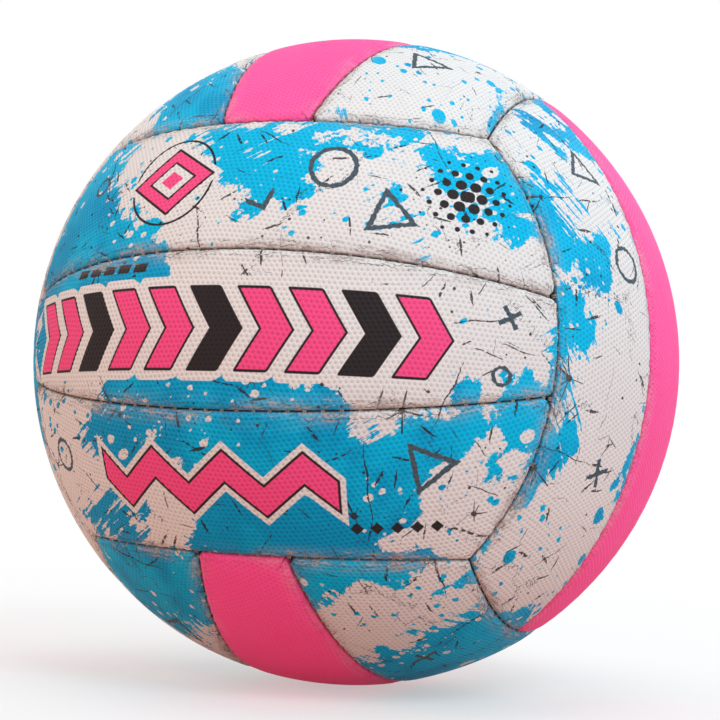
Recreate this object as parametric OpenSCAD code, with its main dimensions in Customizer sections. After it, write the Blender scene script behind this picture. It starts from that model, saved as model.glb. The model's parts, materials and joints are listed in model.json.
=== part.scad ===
// Netball: eighteen stitched cover panels in six groups of three strips, each panel a
// dimpled skin with turned-in hems over a foam pad and a cloth lining, round a rubber
// bladder with a needle valve. The origin is the ball's centre, +Z is up, and the front
// group faces -Y. Within a group the local frame has +Z outwards through the middle of the
// group and +X along the strips.

/* [Ball] */
// Circumference of the inflated ball, measured over the panels
ball_circumference = 700; // [640:5:760]
// Angle from a group's centre to the middle of the seam at its strip ends
end_reach_angle = 53.5; // [50:0.5:54.5]
// Angle from a group's centre line to the seam beside its middle strip
strip_half_angle = 12.4; // [10:0.2:14]

/* [Panels] */
// Thickness of the dimpled outer skin
skin_t = 1; // [0.6:0.1:1.4]
// Thickness of the foam pad under the skin
foam_t = 2.2; // [1.5:0.1:3]
// Thickness of the woven cloth lining under the foam
lining_t = 0.6; // [0.4:0.1:1]
// Glue line between two layers of a panel
glue_gap = 0.1; // [0.06:0.02:0.2]
// Least depth of the hems that are turned in along each seam
hem_min_depth = 3.6; // [3:0.1:6]

/* [Seams] */
// Gap between the hems of two panels
seam_gap = 0.3; // [0.2:0.05:0.5]
// Radius of the rolled edge of a panel
roll_r = 3; // [2.4:0.1:4]
// Diameter of the sewing thread that lies in the seam
thread_d = 0.8; // [0.5:0.05:1]
// Clearance between the thread and what it lies against
thread_clearance = 0.05; // [0.03:0.01:0.1]

/* [Bladder] */
// Wall thickness of the rubber bladder
bladder_t = 0.9; // [0.6:0.1:1.4]
// Clearance between the bladder and the cover
bladder_clearance = 0.1; // [0.06:0.02:0.3]

/* [Valve] */
// Diameter of the hole in the panel that the valve seat fills
valve_hole_d = 9; // [8:0.1:11]
// Clearance round the valve seat's neck in the panel
valve_clearance = 0.15; // [0.1:0.05:0.3]
// Depth of the seat's outer face under the ball's surface
valve_sink = 0.5; // [0.3:0.1:1]
// Diameter of the flange that is bonded inside the bladder
flange_d = 30; // [24:1:40]
// Thickness of the flange
flange_t = 1.6; // [1:0.1:2.5]
// Diameter of the tube that reaches into the bladder
tube_d = 10; // [9:0.5:13]
// Length of the tube under the flange
tube_length = 12; // [9:0.5:16]
// Diameter of the plug's shank
plug_d = 5.6; // [4.8:0.1:6]
// Diameter of the plug's head
plug_head_d = 7; // [6.6:0.1:7.4]
// Thickness of the plug's head
plug_head_t = 1.4; // [1:0.1:2]
// Running clearance between the plug and its seat
plug_clearance = 0.05; // [0.03:0.01:0.1]
// How far the plug's locking rib stands out
rib_height = 0.5; // [0.3:0.1:0.7]
// Width of the locking rib at its foot
rib_width = 2; // [1.4:0.1:3]
// How far the plug's duckbill tip stands out of the tube
tip_length = 5; // [4:0.5:8]
// Thickness of the duckbill's two lips at the tip
lips_t = 2; // [1.6:0.1:3]
// Diameter of the needle bore
needle_bore_d = 2.6; // [2.2:0.1:3]
// Length of the needle bore
needle_bore_length = 15; // [12:0.5:17]
// Diameter of the funnel that leads the needle in
funnel_d = 4.4; // [3.6:0.1:5]
// Depth of the funnel
funnel_depth = 0.9; // [0.5:0.1:1.2]

/* [Hidden] */
$fn = 180;

// Each group: name, the turn that brings its local frame into place, its three strips'
// names from local +Y to -Y, and whether its middle strip is plain pink.
GROUPS = [
  ["front",  [90, 0, 0],    ["upper", "middle", "lower"], false],
  ["back",   [90, 0, 180],  ["upper", "middle", "lower"], false],
  ["right",  [180, -90, 0], ["front", "middle", "back"],  true],
  ["left",   [0, -90, 0],   ["back", "middle", "front"],  true],
  ["top",    [0, 0, 90],    ["left", "middle", "right"],  true],
  ["bottom", [180, 0, 90],  ["right", "middle", "left"],  true],
];
LAYERS = ["skin", "foam", "lining"];

// Node names of one layer or of all eighteen panels, such as skin_front_upper
function panel_name(layer, g, s) = str(layer, "_", GROUPS[g][0], "_", GROUPS[g][2][s]);
PANEL_NODES = [for (layer = LAYERS, g = [0:len(GROUPS) - 1], s = [0:2]) panel_name(layer, g, s)];

// The valve sits in the middle strip of this group.
VALVE_GROUP = "back";
VALVE_TURN = [-90, 0, 0];

ball_r = ball_circumference / (2 * PI);

// Depths of the layers under the ball's surface
foam_top = skin_t + glue_gap;
lining_top = foam_top + foam_t + glue_gap;
stack_depth = lining_top + lining_t;
hem_depth = max(hem_min_depth, stack_depth);
bladder_r = ball_r - hem_depth - bladder_clearance;

// The seam at a group's strip ends is a circle through two corners of the inscribed cube,
// bowed outwards. Its plane's normal leans from the group's centre, towards that end if
// the angle is positive.
corner_share = 1 / sqrt(3);
end_lean_run = corner_share - cos(end_reach_angle);
end_lean_rise = sin(end_reach_angle) - corner_share;
seam_lean = atan(end_lean_run / end_lean_rise);
seam_angle = acos(corner_share * (sin(seam_lean) + cos(seam_lean)));

// The rolled edge is an arc whose centre lies a little nearer to the surface and to the
// hem than its radius, so that it crosses both at a shallow angle.
roll_cross_angle = 15;
roll_centre_in = roll_r * cos(roll_cross_angle);
roll_centre_r = ball_r - roll_centre_in;

// The thread rests in the groove between two rolled edges.
thread_r = thread_d / 2;
groove_half = roll_centre_in + seam_gap / 2;
thread_rest = roll_r + thread_r + thread_clearance;
thread_line_r = roll_centre_r + sqrt(pow(thread_rest, 2) - pow(groove_half, 2));

// Reach of the cutting shapes past the ball's surface and past the bottom of the hems
overrun = 6;
reach_r = ball_r + overrun;
root_r = ball_r - hem_depth - 2 * overrun;

// A panel starts as a patch of shell that is a little larger than the strip, and the cuts
// span enough of their seams to trim it.
patch_margin = 5;
patch_half_length = ball_r * sin(end_reach_angle + 2);
group_side_angle = 50;
cut_span = 22;
cut_half_turn = 62;

// Faces of the valve, as distances from the ball's centre along its axis
seat_face = ball_r - valve_sink;
bladder_in_r = bladder_r - bladder_t;
flange_top_r = bladder_in_r - glue_gap;
flange_under_r = flange_top_r - flange_t;
tube_end = flange_under_r - tube_length;
neck_r = valve_hole_d / 2 - valve_clearance;
seat_bore_r = plug_d / 2 + plug_clearance;
plug_end = tube_end - tip_length;
rib_centre = (seat_face + tube_end) / 2;
// Share of the tip's length over which the lips widen to the full shank
lip_share = 0.8;

function polar(r, a) = [r * sin(a), r * cos(a)];
// Angle in degrees that a length spans at a distance from the ball's centre
function span_angle(length, r) = length / r * 180 / PI;

// Angle of a line that runs beside a seam's surface at a fixed distance, at one radius.
// side is 1 where the panel lies nearer to the seam's axis and -1 where it lies further out.
function beside(seam, side, distance, r) = seam - side * asin(distance / r);

// Outline of a cut along a seam, in the plane through the seam's axis. The rolled edge's
// centre stays the same for every layer, and its radius drops with the inset.
module seam_outline(seam, side, inset, rolled) {
  offset_in = seam_gap / 2 + inset;
  far = seam + side * cut_span;
  centre = beside(seam, side, groove_half, roll_centre_r);
  polygon([polar(root_r, beside(seam, side, offset_in, root_r)),
           polar(reach_r, beside(seam, side, offset_in, reach_r)),
           polar(reach_r, far), polar(root_r, far)]);
  if (rolled)
    difference() {
      polygon([polar(roll_centre_r, centre), polar(reach_r, centre),
               polar(reach_r, seam), polar(roll_centre_r, seam)]);
      translate(polar(roll_centre_r, centre)) circle(roll_r - inset);
    }
}

// A cut along a seam that circles the local Z axis, centred on the local +X side
module seam_cut(seam, side, inset, rolled) {
  rotate([0, 0, -cut_half_turn]) rotate_extrude(angle = 2 * cut_half_turn)
    seam_outline(seam, side, inset, rolled);
}

// A patch of shell round the local X axis, from one angle to another, before it is trimmed.
// It runs from beyond the panel's -X end to the given end.
module shell_patch(outer_r, inner_r, from, to, end) {
  rotate([90 - to, 0, 0]) rotate([0, 90, 0]) rotate([0, 0, 90])
    rotate_extrude(angle = to - from)
      intersection() {
        difference() {
          circle(outer_r);
          circle(inner_r);
        }
        translate([0, -patch_half_length]) square([2 * ball_r, patch_half_length + end]);
      }
}

// A middle strip's block between two radii, in the group's frame, with every wall moved in
// by inset: trimmed along the curved seams at both ends, then beside both side strips
module middle_block(outer_r, inner_r, inset) {
  rolled = outer_r > roll_centre_r;
  reach = strip_half_angle + patch_margin;
  difference() {
    difference() {
      shell_patch(outer_r, inner_r, -reach, reach, patch_half_length);
      for (end = [0, 180])
        rotate([0, 0, end]) rotate([0, seam_lean, 0]) seam_cut(seam_angle, 1, inset, rolled);
    }
    for (side = [1, -1])
      rotate([-side * (90 + strip_half_angle), 0, 0]) rotate([0, 0, -side * 90])
        seam_cut(90, -1, inset, rolled);
  }
}

// Half of the strip on the local +Y side: trimmed beside the middle strip and along the
// curved seam that it shares with the next group, then at its -X end
module side_half_block(outer_r, inner_r, inset) {
  rolled = outer_r > roll_centre_r;
  difference() {
    difference() {
      shell_patch(outer_r, inner_r, strip_half_angle - patch_margin, group_side_angle, 0);
      rotate([90 - strip_half_angle, 0, 0]) rotate([0, 0, 90]) seam_cut(90, -1, inset, rolled);
      rotate([seam_lean - 90, 0, 0]) rotate([0, 0, -90]) seam_cut(seam_angle, -1, inset, rolled);
    }
    rotate([0, 0, 180]) rotate([0, seam_lean, 0]) seam_cut(seam_angle, 1, inset, rolled);
  }
}

module side_block(outer_r, inner_r, inset) {
  union() {
    side_half_block(outer_r, inner_r, inset);
    mirror([1, 0, 0]) side_half_block(outer_r, inner_r, inset);
  }
}

// One strip's block: strip is 1 on the local +Y side, 0 in the middle and -1 on the -Y side.
module panel_block(strip, outer_r, inner_r, inset) {
  if (strip == 0) middle_block(outer_r, inner_r, inset);
  else rotate([0, 0, 90 - strip * 90]) side_block(outer_r, inner_r, inset);
}

// The dimpled skin: a domed strip whose rolled edges turn down into hems
module skin(strip) {
  difference() {
    panel_block(strip, ball_r, ball_r - hem_depth, 0);
    panel_block(strip, ball_r - skin_t, ball_r - hem_depth - overrun, skin_t);
  }
}

// The foam pad inside the skin
module foam(strip) {
  panel_block(strip, ball_r - foam_top, ball_r - foam_top - foam_t, foam_top);
}

// The cloth lining under the foam
module lining(strip) {
  panel_block(strip, ball_r - lining_top, ball_r - stack_depth, foam_top);
}

module panel_layer(layer, strip) {
  if (layer == "skin") skin(strip);
  if (layer == "foam") foam(strip);
  if (layer == "lining") lining(strip);
}

// The hole for the valve, through all layers of the panel
module valve_hole() {
  translate([0, 0, bladder_in_r - overrun]) cylinder(d = valve_hole_d, h = 2 * overrun + hem_depth);
}

function layer_colour(layer, plain_pink) =
  layer == "foam" ? "khaki" : layer == "lining" ? "gainsboro" : plain_pink ? "hotpink" : "white";

module panel(layer, g, s) {
  plain_pink = GROUPS[g][3] && s == 1;
  has_valve = GROUPS[g][0] == VALVE_GROUP && s == 1;
  color(layer_colour(layer, plain_pink))
    rotate(GROUPS[g][1])
      difference() {
        panel_layer(layer, 1 - s);
        if (has_valve) valve_hole();
      }
}

// Threads in the flat seams beside each middle strip, stopping short of the group's ends
module strip_seam_thread() {
  lean_in = sin(seam_lean);
  lean_out = cos(seam_lean) * cos(strip_half_angle);
  end_angle = atan(lean_in / lean_out)
    + acos(cos(seam_angle) / sqrt(pow(lean_in, 2) + pow(lean_out, 2)))
    - span_angle(thread_d + thread_clearance, thread_line_r);
  color("wheat")
    for (g = GROUPS, side = [-1, 1])
      rotate(g[1]) rotate([side * strip_half_angle, 0, 0]) rotate([90, 0, 0])
        rotate([0, 0, 90 - end_angle])
          rotate_extrude(angle = 2 * end_angle) translate([thread_line_r, 0]) circle(thread_r);
}

// Threads in the curved seams between groups, one along each edge of the inscribed cube
module group_seam_thread() {
  half_turn = atan(1 / (cos(seam_lean) - sin(seam_lean)))
    - span_angle(thread_d, thread_line_r * sin(seam_angle));
  color("wheat")
    for (g = GROUPS, end = [0, 180])
      rotate(g[1]) rotate([0, 0, end]) rotate([0, seam_lean, 0]) rotate([0, 0, -half_turn])
        rotate_extrude(angle = 2 * half_turn)
          translate(polar(thread_line_r, seam_angle)) circle(thread_r);
}

module bladder() {
  color("dimgray") difference() {
    sphere(bladder_r);
    sphere(bladder_in_r);
    rotate(VALVE_TURN) valve_hole();
  }
}

// Outline of the plug's shank and locking rib, grown by a clearance, from one height to another
module shank_outline(low, high, grow) {
  translate([0, low]) square([plug_d / 2 + grow, high - low]);
  polygon([[0, rib_centre - rib_width / 2 - grow],
           [plug_d / 2 + grow, rib_centre - rib_width / 2 - grow],
           [plug_d / 2 + rib_height + grow, rib_centre],
           [plug_d / 2 + grow, rib_centre + rib_width / 2 + grow],
           [0, rib_centre + rib_width / 2 + grow]]);
}

// The seat: a neck that fills the panel's hole, a domed flange bonded inside the bladder
// and a tube that reaches into it, bored for the plug
module valve_seat() {
  color("dimgray") rotate(VALVE_TURN) rotate_extrude()
    difference() {
      union() {
        translate([0, flange_under_r]) square([neck_r, seat_face - flange_under_r]);
        translate([0, tube_end]) square([tube_d / 2, flange_under_r - tube_end + flange_t / 2]);
        intersection() {
          difference() {
            circle(flange_top_r);
            circle(flange_under_r);
          }
          translate([0, tube_end]) square([flange_d / 2, ball_r - tube_end]);
        }
      }
      shank_outline(tube_end - overrun, ball_r, plug_clearance);
      translate([0, seat_face - plug_head_t - plug_clearance])
        square([plug_head_d / 2 + plug_clearance, plug_head_t + overrun]);
    }
}

// The rubber plug: head, shank, locking rib and a duckbill tip with flats on both sides
module valve_plug() {
  color("white") rotate(VALVE_TURN)
    difference() {
      rotate_extrude() difference() {
        union() {
          shank_outline(plug_end, seat_face, 0);
          translate([0, seat_face - plug_head_t]) square([plug_head_d / 2, plug_head_t]);
        }
        translate([0, seat_face - needle_bore_length])
          square([needle_bore_d / 2, needle_bore_length + overrun]);
        polygon([[0, seat_face - funnel_depth], [needle_bore_d / 2, seat_face - funnel_depth],
                 [funnel_d / 2, seat_face], [funnel_d / 2, seat_face + overrun],
                 [0, seat_face + overrun]]);
      }
      for (side = [0, 180])
        rotate([0, 0, side]) rotate([90, 0, 0])
          translate([0, 0, -plug_d])
            linear_extrude(height = 2 * plug_d)
              polygon([[lips_t / 2, plug_end - overrun], [lips_t / 2, plug_end],
                       [plug_d / 2, plug_end + lip_share * tip_length],
                       [plug_d, plug_end + lip_share * tip_length],
                       [plug_d, plug_end - overrun]]);
    }
}

for (layer = LAYERS, g = [0:len(GROUPS) - 1], s = [0:2])
  panel(layer, g, s);
strip_seam_thread();
group_seam_thread();
bladder();
valve_seat();
valve_plug();
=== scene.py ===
"""Dresses the netball: printed and dimpled cover panels with rolled, puckered edges, the
stitches between them, the valve at the back, and a plain studio round it."""

import json
import math
from functools import reduce

import bpy
import numpy as np
from bpy.props import FloatProperty, FloatVectorProperty, PointerProperty
from bpy.types import Operator, Panel, PropertyGroup
from mathutils import Matrix, Vector
from mathutils.geometry import delaunay_2d_cdt

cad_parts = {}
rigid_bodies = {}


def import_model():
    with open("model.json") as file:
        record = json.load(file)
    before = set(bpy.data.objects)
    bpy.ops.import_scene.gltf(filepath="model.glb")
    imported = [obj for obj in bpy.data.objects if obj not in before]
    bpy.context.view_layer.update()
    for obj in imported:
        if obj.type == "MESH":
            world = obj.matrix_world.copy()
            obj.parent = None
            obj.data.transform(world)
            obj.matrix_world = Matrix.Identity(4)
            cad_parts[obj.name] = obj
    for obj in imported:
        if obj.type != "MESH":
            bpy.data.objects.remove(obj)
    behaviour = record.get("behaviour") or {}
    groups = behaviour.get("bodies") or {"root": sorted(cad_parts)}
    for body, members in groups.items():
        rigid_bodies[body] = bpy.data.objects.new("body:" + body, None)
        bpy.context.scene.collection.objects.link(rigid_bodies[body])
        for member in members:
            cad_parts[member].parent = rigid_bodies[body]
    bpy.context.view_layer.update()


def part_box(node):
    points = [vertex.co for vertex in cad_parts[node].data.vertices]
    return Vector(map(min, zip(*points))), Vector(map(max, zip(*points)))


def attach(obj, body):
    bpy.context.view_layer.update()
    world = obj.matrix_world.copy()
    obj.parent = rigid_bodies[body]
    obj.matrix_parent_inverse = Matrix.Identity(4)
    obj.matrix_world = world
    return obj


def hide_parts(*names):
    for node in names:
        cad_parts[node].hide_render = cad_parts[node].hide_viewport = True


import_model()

bl_info = {
    "name": "Netball",
    "version": (1, 0, 0),
    "blender": (4, 5, 0),
    "location": "3D View > Sidebar > Netball",
    "description": "Stitched cover panels, seams, valve and studio of a netball",
    "category": "Object",
}

MM = 0.001
BALL_R = -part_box("skin_front_middle")[0][1] / MM

# Group frames: the local X axis runs along the strips, Y across them and Z outwards.
GROUP_AXES = {
    "front": ((1, 0, 0), (0, 0, 1), (0, -1, 0)),
    "back": ((-1, 0, 0), (0, 0, 1), (0, 1, 0)),
    "right": ((0, 0, 1), (0, -1, 0), (1, 0, 0)),
    "left": ((0, 0, 1), (0, 1, 0), (-1, 0, 0)),
    "top": ((0, 1, 0), (-1, 0, 0), (0, 0, 1)),
    "bottom": ((0, 1, 0), (1, 0, 0), (0, 0, -1)),
}
# Each group's strips, from local +Y to -Y
GROUP_STRIPS = {
    "front": ("upper", "middle", "lower"),
    "back": ("upper", "middle", "lower"),
    "right": ("front", "middle", "back"),
    "left": ("back", "middle", "front"),
    "top": ("left", "middle", "right"),
    "bottom": ("right", "middle", "left"),
}
PINK_MIDDLES = ("right", "left", "top", "bottom")

# Groups lie this far apart on the print map, in millimetres. The UV maps are stored in
# units of this many millimetres.
PRINT_STEP = 400.0
MAP_UNIT = 100.0
# The print's brush strokes and thrown drops are drawn out along this direction, by this much.
STROKE_ANGLE = 32
DROP_STRETCH = 0.72
# Painted light: the pink skin glows by itself this strongly and in this colour, to look as
# fluorescent colour does in daylight
PAINTED_LIGHT_STRENGTH = 0.09
PAINTED_LIGHT_COLOUR = (1.0, 0.02, 0.12, 1.0)
# The loose figures' ink, dirt in cracks, the darkening in a seam's groove and a dimple's painted
# shade
LOOSE_INK = (0.07, 0.105, 0.13)
CRACK_DIRT = (0.085, 0.06, 0.052)
GROOVE_DARKENING = (0.07, 0.045, 0.04)
DIMPLE_SHADE = (0.36, 0.28, 0.28)
# The colour that the floor throws back at the ball; to the camera the floor is white.
FLOOR_BOUNCE = (0.67, 0.36, 0.28)

# The seams: half the middle strip's width, and how far a group's ends reach, as angles
STRIP_HALF = math.radians(12.4)
END_REACH = math.radians(53.5)
# Three groups meet at a corner whose three coordinates are alike. The seam between two of
# them lies on a cone, whose axis leans by LEAN and whose half angle is SEAM_ANGLE.
CORNER = 1 / math.sqrt(3)
LEAN = math.atan((CORNER - math.cos(END_REACH)) / (math.sin(END_REACH) - CORNER))
SEAM_ANGLE = math.acos(CORNER * (math.sin(LEAN) + math.cos(LEAN)))
# Half of a group seam, as an angle about its own axis
GROUP_SEAM_HALF = math.radians(42.9)

# Rows of a panel's edge, from the hem's foot up over the roll: the distance from the
# seam, and the depth under the ball's surface, in millimetres
EDGE_ROWS = (
    (0.06, 3.5), (0.06, 2.7), (0.08, 2.1), (0.14, 1.55), (0.27, 1.12), (0.5, 0.8),
    (0.88, 0.54), (1.45, 0.33), (2.2, 0.18), (3.1, 0.09), (4.2, 0.03), (5.6, 0.0),
)
# Rows that make the band along the seams, the step along it, and the steps in a corner
BAND_ROWS = 9
BAND_STEP = 1.04
CORNER_STEPS = 7
# The middle of a side strip, as an angle from its group's middle
SIDE_MIDDLE = math.radians(28)
# The net of a panel's inner side, in millimetres
INNER_STEP = 3.0
# The valve hole's edge, from the face down: the extra radius and the depth
RIM_ROWS = ((0.3, 0.0), (0.1, 0.07), (0.0, 0.3))
HOLE_SIDES = 40
# Depth of the stitches under the ball's surface
STITCH_SINK = 1.5
# Height of the uneven puckers and of the face's slight swells, how far in from the seam a
# stitch's pull and the puckers reach, and how far the face lies inside the ball's full radius
PUCKER, SWELL = 0.27, 0.12
PULL_REACH, PUCKER_REACH = 1.7, 3.0
SETBACK = 0.12


class NetballSizes(PropertyGroup):
    stitch_pitch: FloatProperty(
        name="Stitch pitch", description="Distance from one stitch to the next along a seam",
        default=5.2 * MM, unit="LENGTH")
    thread_width: FloatProperty(
        name="Thread width", description="Thickness of one strand of the sewing thread",
        default=0.55 * MM, unit="LENGTH")
    pucker_depth: FloatProperty(
        name="Pucker depth", description="How far a stitch pulls the panel's edge in",
        default=0.32 * MM, unit="LENGTH")
    corner_radius: FloatProperty(
        name="Corner radius", description="Rounding of each panel's corners",
        default=3.2 * MM, unit="LENGTH")
    skin_thickness: FloatProperty(
        name="Skin thickness", description="Thickness of the dimpled outer skin",
        default=0.7 * MM, unit="LENGTH")
    dimple_pitch: FloatProperty(
        name="Dimple pitch", description="Distance between two dimples of the grip",
        default=1.65 * MM, unit="LENGTH")
    dimple_depth: FloatProperty(
        name="Dimple depth", description="Depth of a dimple of the grip",
        default=0.19 * MM, unit="LENGTH")
    valve_hole: FloatProperty(
        name="Valve hole", description="Diameter of the hole in the panel over the valve",
        default=9.0 * MM, unit="LENGTH")


class NetballColours(PropertyGroup):
    white: FloatVectorProperty(
        name="White", description="Ground colour of the printed panels",
        default=(0.80, 0.785, 0.775), subtype="COLOR", min=0, max=1)
    blue: FloatVectorProperty(
        name="Blue", description="Colour of the splashes",
        default=(0.0, 0.50, 0.82), subtype="COLOR", min=0, max=1)
    deep_blue: FloatVectorProperty(
        name="Deep blue", description="Colour of the splashes where the ink lies thick",
        default=(0.0, 0.33, 0.62), subtype="COLOR", min=0, max=1)
    pink: FloatVectorProperty(
        name="Pink", description="Colour of the plain pink panels",
        default=(0.98, 0.105, 0.36), subtype="COLOR", min=0, max=1)
    print_pink: FloatVectorProperty(
        name="Printed pink", description="Colour of the pink figures in the print",
        default=(0.95, 0.085, 0.27), subtype="COLOR", min=0, max=1)
    charcoal: FloatVectorProperty(
        name="Charcoal", description="Colour of the dark figures and scratches",
        default=(0.028, 0.022, 0.024), subtype="COLOR", min=0, max=1)
    worn: FloatVectorProperty(
        name="Worn edge", description="Colour that shows where the print is rubbed off",
        default=(0.50, 0.44, 0.42), subtype="COLOR", min=0, max=1)
    thread: FloatVectorProperty(
        name="Thread", description="Colour of the sewing thread",
        default=(0.40, 0.33, 0.27), subtype="COLOR", min=0, max=1)


# Node expressions

class Value:
    """A number that a node tree works out, so that patterns are written as sums."""

    def __init__(self, mat, socket):
        self.mat, self.socket = mat, socket

    def __add__(self, other):
        return self.mat.calc("ADD", self, other)

    def __sub__(self, other):
        return self.mat.calc("SUBTRACT", self, other)

    def __rsub__(self, other):
        return self.mat.calc("SUBTRACT", other, self)

    def __mul__(self, other):
        return self.mat.calc("MULTIPLY", self, other)

    def __truediv__(self, other):
        return self.mat.calc("DIVIDE", self, other)

    def __neg__(self):
        return self.mat.calc("MULTIPLY", self, -1.0)

    __radd__ = __add__
    __rmul__ = __mul__


class Finish:
    """A material under construction: its node tree and helpers for patterns."""

    def __init__(self, name):
        self.material = bpy.data.materials.new(name)
        self.material.use_nodes = True
        self.tree = self.material.node_tree
        self.shader = self.tree.nodes["Principled BSDF"]

    def node(self, kind):
        return self.tree.nodes.new("ShaderNode" + kind)

    def place(self):
        """The object's own coordinates, in metres"""
        return self.node("TexCoord").outputs["Object"]

    def plug(self, socket, value):
        """Links a value to a socket, or sets it there if it is constant"""
        if isinstance(value, Value):
            self.tree.links.new(value.socket, socket)
        elif isinstance(value, bpy.types.NodeSocket):
            self.tree.links.new(value, socket)
        else:
            if isinstance(value, (tuple, list)) and len(socket.default_value) == 4:
                value = (*value, 1.0)[:4]
            socket.default_value = value

    def calc(self, operation, *values):
        node = self.node("Math")
        node.operation = operation
        for socket, value in zip(node.inputs, values):
            self.plug(socket, value)
        return Value(self, node.outputs[0])

    def minimum(self, *values):
        return reduce(lambda a, b: self.calc("MINIMUM", a, b), values)

    def maximum(self, *values):
        return reduce(lambda a, b: self.calc("MAXIMUM", a, b), values)

    def size_of(self, a):
        return self.calc("ABSOLUTE", a)

    def above(self, a, b):
        """1 where a is the larger, else 0"""
        return self.calc("GREATER_THAN", a, b)

    def root_of_squares(self, a, b):
        return self.calc("SQRT", self.calc("MULTIPLY_ADD", a, a, b * b))

    def ramp(self, value, low, high):
        """0 at low and 1 at high, with smooth ends"""
        node = self.node("MapRange")
        node.interpolation_type = "SMOOTHSTEP"
        self.plug(node.inputs["Value"], value)
        self.plug(node.inputs["From Min"], low)
        self.plug(node.inputs["From Max"], high)
        return Value(self, node.outputs["Result"])

    def inside(self, distance, soft=0.14):
        """1 where a signed distance in millimetres is negative"""
        return self.ramp(distance, soft, -soft)

    def vector(self, x, y, z=0.0):
        node = self.node("CombineXYZ")
        for socket, value in zip(node.inputs, (x, y, z)):
            self.plug(socket, value)
        return node.outputs[0]

    def parts(self, socket):
        node = self.node("SeparateXYZ")
        self.plug(node.inputs[0], socket)
        return [Value(self, out) for out in node.outputs]

    def map(self, name):
        """The two millimetre coordinates of one of the panel's own maps"""
        node = self.node("UVMap")
        node.uv_map = name
        x, y, _ = self.parts(node.outputs[0])
        return x * MAP_UNIT, y * MAP_UNIT

    def noise(self, vector, scale, detail=2.0, roughness=0.5, distortion=0.0):
        node = self.node("TexNoise")
        node.noise_dimensions = "3D"
        self.plug(node.inputs["Vector"], vector)
        for name, value in {"Scale": scale, "Detail": detail, "Roughness": roughness,
                            "Distortion": distortion}.items():
            node.inputs[name].default_value = value
        return Value(self, node.outputs[0])

    def voronoi(self, vector, scale, feature):
        node = self.node("TexVoronoi")
        node.voronoi_dimensions, node.feature = "2D", feature
        self.plug(node.inputs["Vector"], vector)
        node.inputs["Scale"].default_value = scale
        return node, Value(self, node.outputs["Distance"]) / scale

    def cells(self, vector, scale):
        """The nearest cell point in 2D: distance, random parts, offset to it and its place"""
        node, distance = self.voronoi(vector, scale, "F1")
        offset = self.node("VectorMath")
        offset.operation = "SUBTRACT"
        self.plug(offset.inputs[0], vector)
        self.plug(offset.inputs[1], node.outputs["Position"])
        x, y, _ = self.parts(offset.outputs[0])
        return distance, self.parts(node.outputs["Color"]), x, y, node.outputs["Position"]

    def mix(self, share, under, over, blend="MIX"):
        """Lays one colour over another by a share from 0 to 1"""
        node = self.node("Mix")
        node.data_type, node.blend_type = "RGBA", blend
        self.plug(node.inputs[0], share)
        self.plug(node.inputs[6], under)
        self.plug(node.inputs[7], over)
        return node.outputs[2]

    def turned(self, x, y, degrees):
        """The two coordinates in a frame turned by an angle"""
        c, s = math.cos(math.radians(degrees)), math.sin(math.radians(degrees))
        return x * c + y * s, y * c - x * s

    def bump(self, height):
        """The bumped normal of a height in millimetres"""
        node = self.node("Bump")
        node.inputs["Strength"].default_value = 1.0
        node.inputs["Distance"].default_value = MM
        self.plug(node.inputs["Height"], height)
        return node.outputs[0]

    def done(self, colour, roughness, height, specular=0.5):
        for name, value in {"Base Color": colour, "Roughness": roughness,
                            "Normal": self.bump(height), "Specular IOR Level": specular}.items():
            self.plug(self.shader.inputs[name], value)
        return self.material


# Print figures, as signed distances in millimetres from the outline of a figure that lies
# at the origin

def ring(f, u, v, radius, half_width):
    """A circle's line"""
    return f.size_of(f.root_of_squares(u, v) - radius) - half_width


def box(f, u, v, half_u, half_v, corner):
    """A rectangle with rounded corners"""
    dx = f.size_of(u) - (half_u - corner)
    dy = f.size_of(v) - (half_v - corner)
    outer = f.root_of_squares(f.maximum(dx, 0.0), f.maximum(dy, 0.0))
    return outer + f.minimum(f.maximum(dx, dy), 0.0) - corner


def plus_sign(f, u, v, half, half_width):
    """Two crossed bars"""
    across = f.maximum(f.size_of(u) - half, f.size_of(v) - half_width)
    upright = f.maximum(f.size_of(v) - half, f.size_of(u) - half_width)
    return f.minimum(across, upright)


def chevron(f, u, v, half, half_width):
    """One bent bar"""
    arm = f.size_of(v + f.size_of(u) - half * 0.5) - half_width * 1.4
    return f.maximum(arm, f.size_of(u) - half)


def triangle(f, u, v, half, half_width):
    """An outlined triangle: the distance from three sides, taken as a band"""
    slope = f.maximum(f.size_of(u) * 0.866 + v * 0.5, -v)
    return f.size_of(slope - half * 0.5) - half_width


def layered(f, colour, coats):
    """Lays printed coats of ink over a colour, each where its distance is negative."""
    for distance, ink in coats:
        colour = f.mix(f.inside(distance), colour, ink)
    return colour


def splash_score(f, plane, amount):
    """The splashes' coarse outline: above 0 there is ink"""
    return (f.noise(plane, 0.0125, 3.5, 0.5, 0.5) - 0.5) * 13.0 + amount


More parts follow.
